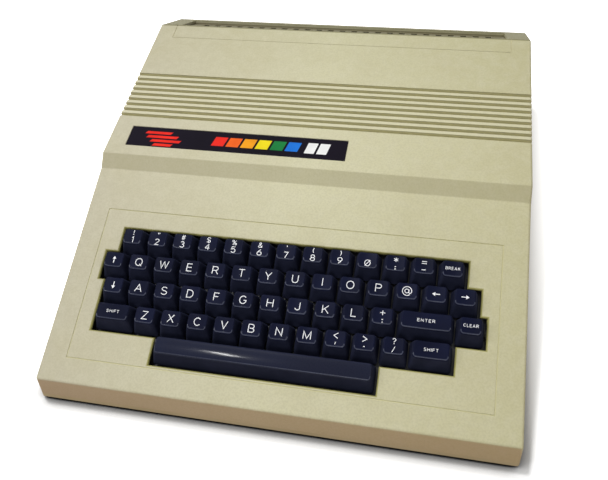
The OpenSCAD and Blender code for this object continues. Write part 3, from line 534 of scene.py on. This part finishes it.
bar = dict(cap, dish=0, crown=0.45, corner=2.0, rim=0.8, cuts=12, stems=(-3 * keyPitch, 0, 3 * keyPitch),
           finish={"top": barAbs, "legend": legendWhite, "rim": rimHighlightAbs, "skirt": barSkirtAbsPaintedLighter})
bar["rearRim"] = 1.2 * bar["rim"]  # the bar's rear rim is matt and painted paler over this depth
slotOf = {part: i for i, part in enumerate(cap["finish"])}


def topHeight(x, y, width, s):
    # height of the hollowed or arched top over a point
    if s["crown"]:
        return s["top"] - s["crown"] * min(1, abs(y - s["shift"]) / s["topDepth"] * 2) ** 2
    half = (width - s["taper"]) / 2
    return s["top"] - s["dish"] * (1 - min(1, (x / half) ** 2))


def rimFall(x, y, width, s):
    # how far the rounded rim has come down at a point
    inward = min((width - s["taper"]) / 2 - abs(x), s["topDepth"] / 2 - abs(y - s["shift"]))
    short = max(0, s["rim"] - inward)
    return s["rim"] - math.sqrt(max(0, s["rim"] ** 2 - short ** 2))


def capShape(width, depth, stemFoot, s):
    shape = bmesh.new()
    bmesh.ops.create_cube(shape, size=1)
    for v in shape.verts:
        high = v.co.z > 0
        v.co = (v.co.x * (width - (s["taper"] if high else 0)),
                v.co.y * (s["topDepth"] if high else depth) + (s["shift"] if high else 0),
                s["top"] if high else s["foot"])
    uprights = [e for e in shape.edges if e.verts[0].co.z != e.verts[1].co.z]
    bevelEdges(shape, uprights, s["corner"], s["cornerSteps"])
    topWidth = width - s["taper"]
    tiny = 0.01
    rim = [e for e in shape.edges if all(v.co.z > s["top"] - tiny for v in e.verts)]
    rounded = bevelEdges(shape, rim, s["rim"], s["rimSteps"])
    shape.normal_update()
    for face in shape.faces:
        if face.normal.z < s["skirtFacing"]:
            face.material_index = slotOf["skirt"]
    for face in rounded["faces"]:
        if face.normal.z > s["rimFacing"]:
            face.material_index = slotOf["rim"]
    # cut across and along, so that the top can be hollowed or arched
    for i in range(1, s["cuts"]):
        share = i / s["cuts"] - 0.5
        cuts = [] if s["crown"] else [((share * topWidth, 0, 0), (1, 0, 0))]
        if s["crown"] or i % 2 == 0:
            cuts.append(((0, s["shift"] + share * s["topDepth"], 0), (0, 1, 0)))
        for at, normal in cuts:
            bmesh.ops.bisect_plane(shape, geom=shape.verts[:] + shape.edges[:] + shape.faces[:],
                                   plane_co=at, plane_no=normal)
    # the painted highlight of the rim is only in front, and the bar's rear rim takes the sides' matt finish,
    # painted paler
    for face in shape.faces:
        ahead = face.calc_center_median().y - s["shift"]
        if face.material_index == slotOf["rim"] and ahead > -s["rimHighlightReach"]:
            face.material_index = slotOf["top"]
        if s["crown"] and ahead > s["topDepth"] / 2 - s["rearRim"]:
            face.material_index = slotOf["skirt"]
    for v in shape.verts:
        if v.co.z > s["top"] - s["rim"] - tiny:
            v.co.z += topHeight(v.co.x, v.co.y, width, s) - s["top"]
    # hollow underneath: the foot is inset, then pushed up and drawn in under the top
    shape.normal_update()
    foot = [f for f in shape.faces if f.normal.z < -s["rimFacing"]]
    bmesh.ops.inset_region(shape, faces=foot, thickness=s["wall"], use_even_offset=True)
    pushed = bmesh.ops.extrude_face_region(shape, geom=foot)
    roofHeight = s["top"] - s["dish"] - s["roof"]
    for v in [g for g in pushed["geom"] if isinstance(g, bmesh.types.BMVert)]:
        v.co = (v.co.x * (topWidth - 2 * s["wall"]) / (width - 2 * s["wall"]),
                v.co.y * (s["topDepth"] - 2 * s["wall"]) / (depth - 2 * s["wall"]) + s["shift"], roofHeight)
    bmesh.ops.delete(shape, geom=[f for f in foot if f.is_valid], context="FACES_ONLY")
    bmesh.ops.recalc_face_normals(shape, faces=shape.faces)
    for x in s["stems"]:
        tall = roofHeight + s["stemOverlap"] - stemFoot
        bmesh.ops.create_cube(shape, size=1, matrix=Matrix.Translation((x, 0, stemFoot + tall / 2))
                              @ Matrix.Diagonal((s["stem"], s["stem"], tall, 1)))
    return shape


arcStep = 20  # degrees from one point of an arc to the next


def arc(x, y, rx, ry, start, end):
    steps = max(2, round(abs(end - start) / arcStep))
    turns = [math.radians(start + (end - start) * i / steps) for i in range(steps + 1)]
    return [(x + rx * math.cos(t), y + ry * math.sin(t)) for t in turns]


# middle lines of plain engraver's letters, as (width, strokes), with capitals of height 1
bowl = [(0, 0.48), *arc(0.34, 0.74, 0.26, 0.26, -90, 90), (0, 1), (0, 0)]
bends = [*arc(0.32, 0.75, 0.28, 0.25, 25, 270), *arc(0.32, 0.25, 0.32, 0.25, 90, -155)[1:]]
letters = {
    "A": (0.76, [[(0, 0), (0.38, 1), (0.76, 0)], [(0.13, 0.33), (0.63, 0.33)]]),
    "B": (0.62, [[(0, 0.5), *arc(0.34, 0.75, 0.24, 0.25, -90, 90), (0, 1), (0, 0),
                  *arc(0.36, 0.25, 0.26, 0.25, -90, 90), (0, 0.5)]]),
    "C": (0.7, [arc(0.37, 0.5, 0.37, 0.5, 40, 320)]),
    "D": (0.68, [[(0.3, 1), (0, 1), (0, 0), *arc(0.3, 0.5, 0.38, 0.5, -90, 90)]]),
    "E": (0.58, [[(0.56, 1), (0, 1), (0, 0), (0.58, 0)], [(0, 0.52), (0.52, 0.52)]]),
    "F": (0.56, [[(0.56, 1), (0, 1), (0, 0)], [(0, 0.52), (0.48, 0.52)]]),
    "G": (0.74, [[*arc(0.37, 0.5, 0.37, 0.5, 42, 328), (0.72, 0.44), (0.42, 0.44)]]),
    "H": (0.66, [[(0, 0), (0, 1)], [(0.66, 0), (0.66, 1)], [(0, 0.52), (0.66, 0.52)]]),
    "I": (0, [[(0, 0), (0, 1)]]),
    "J": (0.48, [[(0.48, 1), *arc(0.24, 0.25, 0.24, 0.25, 0, -175)]]),
    "K": (0.64, [[(0, 0), (0, 1)], [(0.62, 1), (0, 0.36)], [(0.22, 0.58), (0.66, 0)]]),
    "L": (0.52, [[(0, 1), (0, 0), (0.52, 0)]]),
    "M": (0.78, [[(0, 0), (0, 1), (0.39, 0.08), (0.78, 1), (0.78, 0)]]),
    "N": (0.66, [[(0, 0), (0, 1), (0.66, 0), (0.66, 1)]]),
    "O": (0.78, [arc(0.39, 0.5, 0.39, 0.5, 0, 360)]),
    "P": (0.6, [bowl]),
    "Q": (0.78, [arc(0.39, 0.5, 0.39, 0.5, 0, 360), [(0.48, 0.26), (0.76, -0.04)]]),
    "R": (0.64, [bowl, [(0.34, 0.48), (0.64, 0)]]),
    "S": (0.64, [bends]),
    "T": (0.64, [[(0, 1), (0.64, 1)], [(0.32, 1), (0.32, 0)]]),
    "U": (0.64, [[(0, 1), *arc(0.32, 0.32, 0.32, 0.32, 180, 360), (0.64, 1)]]),
    "V": (0.7, [[(0, 1), (0.35, 0), (0.7, 1)]]),
    "W": (1, [[(0, 1), (0.25, 0), (0.5, 0.95), (0.75, 0), (1, 1)]]),
    "X": (0.68, [[(0, 0), (0.66, 1)], [(0.02, 1), (0.68, 0)]]),
    "Y": (0.68, [[(0, 1), (0.34, 0.46), (0.68, 1)], [(0.34, 0.46), (0.34, 0)]]),
    "Z": (0.64, [[(0.02, 1), (0.62, 1), (0, 0), (0.64, 0)]]),
    "0": (0.62, [arc(0.31, 0.5, 0.31, 0.5, 0, 360), [(0.03, 0), (0.59, 1)]]),
    "1": (0.2, [[(0, 0.8), (0.2, 1), (0.2, 0)]]),
    "2": (0.56, [[*arc(0.27, 0.73, 0.26, 0.27, 165, -30), (0, 0), (0.56, 0)]]),
    "3": (0.56, [[*arc(0.27, 0.76, 0.23, 0.24, 150, -90), *arc(0.27, 0.26, 0.28, 0.26, 90, -155)[1:]]]),
    "4": (0.6, [[(0.42, 0), (0.42, 1), (0, 0.3), (0.6, 0.3)]]),
    "5": (0.56, [[(0.5, 1), (0.08, 1), (0.04, 0.54), *arc(0.27, 0.33, 0.28, 0.33, 120, -150)]]),
    "6": (0.56, [[(0.44, 1), (0.16, 0.7), *arc(0.28, 0.3, 0.28, 0.3, 160, 520)]]),
    "7": (0.54, [[(0, 1), (0.54, 1), (0.2, 0)]]),
    "8": (0.56, [arc(0.28, 0.76, 0.23, 0.24, 0, 360), arc(0.28, 0.26, 0.28, 0.26, 0, 360)]),
    "9": (0.56, [[(0.12, 0), (0.4, 0.3), *arc(0.28, 0.7, 0.28, 0.3, -20, 340)]]),
    "!": (0, [[(0, 0.32), (0, 1)], [(0, 0), (0, 0.1)]]),
    "\"": (0.24, [[(0, 1), (0, 0.66)], [(0.24, 1), (0.24, 0.66)]]),
    "#": (0.64, [[(0.12, 0), (0.24, 1)], [(0.4, 0), (0.52, 1)], [(0, 0.34), (0.6, 0.34)],
                 [(0.04, 0.68), (0.64, 0.68)]]),
    "$": (0.64, [bends, [(0.32, -0.12), (0.32, 1.12)]]),
    "%": (0.8, [arc(0.16, 0.79, 0.15, 0.2, 0, 360), arc(0.64, 0.21, 0.15, 0.2, 0, 360),
                [(0.12, 0), (0.68, 1)]]),
    "&": (0.66, [[(0.66, 0), (0.16, 0.66), *arc(0.28, 0.82, 0.16, 0.18, 200, -30), (0.06, 0.36),
                  *arc(0.27, 0.22, 0.27, 0.22, 160, 325), (0.64, 0.42)]]),
    "'": (0, [[(0, 1), (0, 0.66)]]),
    "(": (0.2, [arc(0.4, 0.5, 0.4, 0.62, 130, 230)]),
    ")": (0.2, [arc(-0.2, 0.5, 0.4, 0.62, 50, -50)]),
    "*": (0.5, [[(0.25, 0.2), (0.25, 0.8)], [(0, 0.35), (0.5, 0.65)], [(0, 0.65), (0.5, 0.35)]]),
    ":": (0, [[(0, 0.1), (0, 0.23)], [(0, 0.42), (0, 0.55)]]),
    ";": (0.06, [[(0.06, 0.46), (0.06, 0.59)], [(0.08, 0.26), (0.08, 0.12), (0, -0.06)]]),
    "=": (0.6, [[(0, 0.36), (0.6, 0.36)], [(0, 0.64), (0.6, 0.64)]]),
    "-": (0.5, [[(0, 0.45), (0.5, 0.45)]]),
    "+": (0.6, [[(0.3, 0.15), (0.3, 0.75)], [(0, 0.45), (0.6, 0.45)]]),
    "<": (0.5, [[(0.5, 0.8), (0, 0.45), (0.5, 0.1)]]),
    ">": (0.5, [[(0, 0.8), (0.5, 0.45), (0, 0.1)]]),
    ",": (0.06, [[(0.07, 0.56), (0.07, 0.42), (0, 0.26)]]),
    ".": (0, [[(0, 0.38), (0, 0.51)]]),
    "?": (0.5, [[*arc(0.25, 0.76, 0.24, 0.24, 165, -60), (0.25, 0.42), (0.25, 0.28)],
                [(0.25, 0), (0.25, 0.1)]]),
    "/": (0.42, [[(0, -0.04), (0.42, 1.02)]]),
    "@": (0.92, [[(0.66, 0.68), (0.64, 0.36), *arc(0.76, 0.4, 0.14, 0.14, 200, 340),
                  *arc(0.46, 0.5, 0.46, 0.5, 0, 310)], arc(0.44, 0.5, 0.2, 0.22, 0, 360)]),
}
# how the letters are laid on the keys, in millimetres
legend = {
    # height, stroke width and stretch from side to side of each size
    "letter": (5.9, 0.52, 1.18), "at": (6.7, 0.5, 1.08), "digit": (4.8, 0.5, 1.25), "zero": (4.8, 0.5, 1.4),
    "sign": (4.1, 0.44, 1.08), "mark": (5.7, 0.48, 1.08), "word": (2.2, 0.3, 1.08),
    # how far up the slope each stands from the middle of the top
    "rows": {"sign": 3.1, "digit": -2.3, "zero": -2, "query": 3, "slash": -2.4, "upper": 2.4, "lower": -2.6,
             "word": 0.2},
    "gap": 0.42,  # between letters, as a share of their height
    "dot": 1.6, "dotHeight": 0.14,  # a stroke lower than this share of a capital is a dot, so much wider
    "bend": 2.2, "mitre": 0.55,  # longest straight stretch of a stroke, limit of a corner's point
    "raised": 0.04, "sunk": 0.1,  # out of and into the cap
    "arrow": [(-2.6, -0.3), (0.5, -0.3), (0.5, -1.4), (2.6, 0), (0.5, 1.4), (0.5, 0.3), (-2.6, 0.3)],
}
signs = dict(zip("123456789", "!\"#$%&'()"))
marks = {"colon": "*:", "minus": "=-", "semicolon": "+;", "comma": "<,", "period": ">."}
words = {"break": ("BREAK", 9.7), "enter": ("ENTER", 11.6), "clear": ("CLEAR", 9.7),
         "shift_left": ("SHIFT", 9.4), "shift_right": ("SHIFT", 9.4)}  # each with its length
arrows = {"up": 90, "down": -90, "left": 180, "right": 0}  # turns in degrees


def strokeShape(points, wide):
    # a flat stroke of unit thickness: a strip of quads bent along its middle line, with mitred corners
    path = [Vector(points[0])]
    for point in points[1:]:
        point = Vector(point)
        if (point - path[-1]).length > legend["bend"]:
            path.append((path[-1] + point) / 2)
        path.append(point)
    tiny = 0.001
    ring = (path[0] - path[-1]).length < 10 * tiny
    last = len(path) - 1
    ways = [(b - a).normalized() for a, b in zip(path, path[1:])]
    shape = bmesh.new()
    bmesh.ops.create_grid(shape, x_segments=last, y_segments=1, size=1)
    for v in shape.verts:
        i = round((v.co.x + 1) / 2 * last)
        before = ways[i - 1] if i or ring else ways[0]
        after = ways[i % last] if i < last or ring else ways[-1]
        across = Vector((-before.y - after.y, before.x + after.x)).normalized()
        reach = wide / 2 / max(legend["mitre"], across.dot(Vector((-before.y, before.x))))
        at = path[i] + across * math.copysign(reach, v.co.y)
        v.co = (at.x, at.y, 0)
    if ring:
        bmesh.ops.remove_doubles(shape, verts=shape.verts, dist=tiny)
    return raisedFace(shape)


def textShape(text, size, length=None):
    # strokes of a word or a sign, centred, as tall as the size says, and as long as asked
    height, wide, stretch = legend[size]
    tall = height - wide
    gap = legend["gap"]
    total = sum(letters[c][0] + gap for c in text) - gap
    wider = (length - wide) / total if length else tall * stretch
    strokes = []
    x = -total / 2
    for c in text:
        for points in letters[c][1]:
            (startX, startY), (endX, endY) = points[0], points[-1]
            isDot = len(points) == 2 and startX == endX and abs(startY - endY) < legend["dotHeight"]
            strokes.append(strokeShape([((x + px) * wider, (py - 0.5) * tall) for px, py in points],
                                       wide * legend["dot"] if isDot else wide))
        x += letters[c][0] + gap
    return joined(strokes)


def plateShape(outline):
    # closed flat plate of unit thickness with that outline
    shape = bmesh.new()
    shape.faces.new([shape.verts.new((x, y, 0)) for x, y in outline])
    return raisedFace(shape)


def legendShapes(name):
    # what stands on a key: each shape with its way up the slope from the middle of the top
    rows = legend["rows"]
    if name in signs:
        return [(textShape(signs[name], "sign"), rows["sign"]), (textShape(name, "digit"), rows["digit"])]
    if name == "slash":
        return [(textShape("?", "sign"), rows["query"]), (textShape("/", "sign"), rows["slash"])]
    if name in marks:
        upper, lower = marks[name]
        return [(textShape(upper, "mark"), rows["upper"]), (textShape(lower, "mark"), rows["lower"])]
    if name in arrows:
        arrow = plateShape(legend["arrow"])
        arrow.transform(Matrix.Rotation(math.radians(arrows[name]), 4, "Z"))
        return [(arrow, 0)]
    if name in words:
        word, length = words[name]
        return [(textShape(word, "word", length), rows["word"])]
    if name == "0":
        return [(textShape("0", "zero"), rows["zero"])]
    if name == "at":
        return [(textShape("@", "at"), 0)]
    return [(textShape(name.upper(), "letter"), 0)]


def makeKey(node, body, s, name=None):
    # a key in the place and with the width and depth of its node; the name is what stands on it
    low, high = boxIn(panel, node)
    width, depth = high.x - low.x, high.y - low.y
    middle = Vector(((low.x + high.x) / 2, (low.y + high.y) / 2, 0))
    parts = [capShape(width, depth, low.z, s)]
    for mark, row in legendShapes(name) if name else []:
        for v in mark.verts:
            x, y = v.co.x, v.co.y + row + s["shift"]
            height = topHeight(x, y, width, s) - rimFall(x, y, width, s)
            v.co = (x, y, height + (legend["raised"] if v.co.z > 0.5 else -legend["sunk"]))
        for f in mark.faces:
            f.material_index = slotOf["legend"]
        parts.append(mark)
    shape = joined(parts)
    shape.transform(panel @ inMillimetres @ Matrix.Translation(middle))
    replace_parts(newPiece("cap_" + node, shape, s["finish"].values(), body), node)


keyNodes = [node for node in nodes if node.startswith("key_")]
for node in keyNodes:
    name = node[len("key_"):]
    makeKey(node, "cap_" + name, cap, name)
makeKey("space_bar", "cap_space", bar)
print("keys done,", len(keyNodes) + 1)

# badge: a lacquered plate in its recess, with a plain coloured design; millimetres on the top face
badge = {
    "left": -145.1, "right": 27.7, "front": 9.6, "rear": 29.5, "back": -1.15, "face": -0.25, "edge": 0.2,
    "raised": 0.05, "sunk": 0.1,  # the ink, out of and into the plate
    # red bars at the left: ends of each, rear one first
    "bars": [(-133, -112), (-131, -106), (-127, -103), (-124, -109)],
    "barRow": {"front": 22.8, "depth": 2.6, "apart": 4.1, "slant": 1.6},
    # slanted blocks in the middle and at the right
    "blocks": [
        {"inks": ["red", "orange", "amber", "yellow", "green", "blue"], "left": -77, "width": 9.8,
         "apart": 11.6, "front": 15, "rear": 24.2, "slant": 2.2},
        {"inks": ["white", "white"], "left": -4, "width": 7.6, "apart": 9.4, "front": 14.2, "rear": 24.8,
         "slant": 2.2},
    ],
}


def slanted(left, right, front, rear, slant):
    return [(left, front), (right, front), (right + slant, rear), (left + slant, rear)]


def badgePlate(s):
    plate = bmesh.new()
    bmesh.ops.create_cube(plate, size=1)
    for v in plate.verts:
        v.co = (s["right"] if v.co.x > 0 else s["left"], s["rear"] if v.co.y > 0 else s["front"],
                s["face"] if v.co.z > 0 else s["back"])
    plate.transform(topFace @ inMillimetres)
    softenEdges(plate, s["edge"])
    newPiece("badge_plate", plate, [badgeLacquer], "chassis")


def badgeDesign(s):
    outlines = {ink: [] for ink in badgeInks}
    row = s["barRow"]
    for i, (left, right) in enumerate(s["bars"]):
        front = row["front"] - row["apart"] * i
        outlines["red"].append(slanted(left, right, front, front + row["depth"], row["slant"]))
    for row in s["blocks"]:
        for i, ink in enumerate(row["inks"]):
            left = row["left"] + row["apart"] * i
            outlines[ink].append(slanted(left, left + row["width"], row["front"], row["rear"], row["slant"]))
    for ink, found in outlines.items():
        whole = joined([plateShape(outline) for outline in found])
        for v in whole.verts:
            v.co.z = s["face"] + (s["raised"] if v.co.z > 0.5 else -s["sunk"])
        whole.transform(topFace @ inMillimetres)
        newPiece("badge_ink_" + ink, whole, [badgeInks[ink]], "chassis")


badgePlate(badge)
badgeDesign(badge)
print("badge done")

# floor, world and lamps
stage = {
    "reach": 3, "seen": "#ffffff", "lit": "#d8c4ac", "sky": 0.2,
    # shade where the object stands: how far it gathers in millimetres, how open a place is where it is full
    # and where it ends, and the grey that it comes to
    "contact": 14, "closed": 0.47, "open": 0.9, "rays": 16, "darkest": 0.02,
    # glow of the floor where it is seen: its share beside the case, and the distances in millimetres at which
    # it starts to grow and is full
    "lift": 0.06, "near": 6, "far": 30,
    # lamps: place and target in metres, width and height in metres, power in watts
    "lamps": {
        "main": ((-0.55, 0.48, 2.05), (0, 0, 0), (0.25, 0.25), 24),
        "left": ((-2.0, -0.3, 1.6), (0, 0, 0), (0.8, 0.8), 12),
        "right": ((1.8, -0.2, 1.8), (0, 0, 0), (0.8, 0.8), 5),
        "front": ((0.1, -1.5, 1.0), (0, 0, 0), (0.5, 0.5), 4.2),
        # a narrow lamp whose mirror image is the highlight on the space bar
        "spark": ((-0.27, -0.29, 0.87), (-0.04, -0.15, 0.04), (0.075, 0.016), 0.85),
    },
}


def seenRays(tree):
    # 1 where the camera looks straight at a surface, or by way of metal, gloss or glass
    path = addNode(tree, "LightPath").outputs
    either = addNode(tree, "Math", {0: path["Is Camera Ray"], 1: path["Is Glossy Ray"]}, operation="MAXIMUM")
    return addNode(tree, "Math", {0: either.outputs["Value"], 1: path["Is Transmission Ray"]},
                   operation="MAXIMUM").outputs["Value"]


def addFloor(s):
    # white where it is seen, warm where it throws light back, and it keeps the shadow
    material, tree, place, shader = newMaterial("paleFloor")
    clear = seenRays(tree)
    base = layTint(tree, colour(s["lit"]), clear, (0, 1), s["seen"])
    # the last of the light goes where the object stands on the floor
    contact = addNode(tree, "AmbientOcclusion", {"Distance": s["contact"] * mm}, samples=s["rays"])
    shade = addNode(tree, "MapRange", {"Value": contact.outputs["AO"], "From Min": s["closed"],
                                       "From Max": s["open"]})
    shaded = addNode(tree, "Mix", {0: shade.outputs["Result"], 6: (*[s["darkest"]] * 3, 1), 7: base},
                     data_type="RGBA")
    # further out the floor is as bright as the backdrop
    aside = addNode(tree, "VectorMath", {0: place}, operation="ABSOLUTE").outputs["Vector"]
    beyond = addNode(tree, "VectorMath", {0: aside, 1: cadBox[1]}, operation="SUBTRACT").outputs["Vector"]
    outside = addNode(tree, "VectorMath", {0: beyond, 1: (0, 0, 0)}, operation="MAXIMUM").outputs["Vector"]
    away = addNode(tree, "VectorMath", {0: outside}, operation="LENGTH")
    lift = addNode(tree, "MapRange", {"Value": away.outputs["Value"], "From Min": s["near"] * mm,
                                      "From Max": s["far"] * mm, "To Min": s["lift"], "To Max": 1})
    unshaded = addNode(tree, "Math", {0: lift.outputs["Result"], 1: shade.outputs["Result"]},
                       operation="MULTIPLY")
    glow = addNode(tree, "Math", {0: unshaded.outputs["Value"], 1: clear}, operation="MULTIPLY")
    tree.links.new(shaded.outputs[2], shader.inputs["Base Color"])
    tree.links.new(glow.outputs["Value"], shader.inputs["Emission Strength"])
    shader.inputs["Emission Color"].default_value = (1, 1, 1, 1)
    shader.inputs["Roughness"].default_value = 0.9
    shader.inputs["Specular IOR Level"].default_value = 0
    shape = bmesh.new()
    bmesh.ops.create_grid(shape, x_segments=1, y_segments=1, size=s["reach"])
    mesh = bpy.data.meshes.new("floor")
    shape.to_mesh(mesh)
    shape.free()
    mesh.materials.append(material)
    floor = bpy.data.objects.new("floor", mesh)
    scene.collection.objects.link(floor)


def addWorld(s):
    world = bpy.data.worlds.new("studio")
    world.use_nodes = True
    tree = world.node_tree
    tree.nodes.clear()
    strength = addNode(tree, "MapRange", {"Value": seenRays(tree), "To Min": s["sky"], "To Max": 1})
    sky = addNode(tree, "Background", {"Color": (1, 1, 1, 1), "Strength": strength.outputs["Result"]})
    addNode(tree, "OutputWorld", {"Surface": sky.outputs["Background"]})
    scene.world = world


def addLamp(name, place, target, size, power):
    lamp = bpy.data.lights.new(name, "AREA")
    lamp.shape = "RECTANGLE"
    lamp.size, lamp.size_y = size
    lamp.energy = power
    holder = bpy.data.objects.new(name, lamp)
    aim = (Vector(target) - Vector(place)).to_track_quat("-Z", "Y")
    holder.matrix_world = Matrix.Translation(place) @ aim.to_matrix().to_4x4()
    scene.collection.objects.link(holder)


addFloor(stage)
addWorld(stage)
for name, (place, target, size, power) in stage["lamps"].items():
    addLamp(name, place, target, size, power)
scene.view_settings.view_transform = "Standard"
print("stage done")
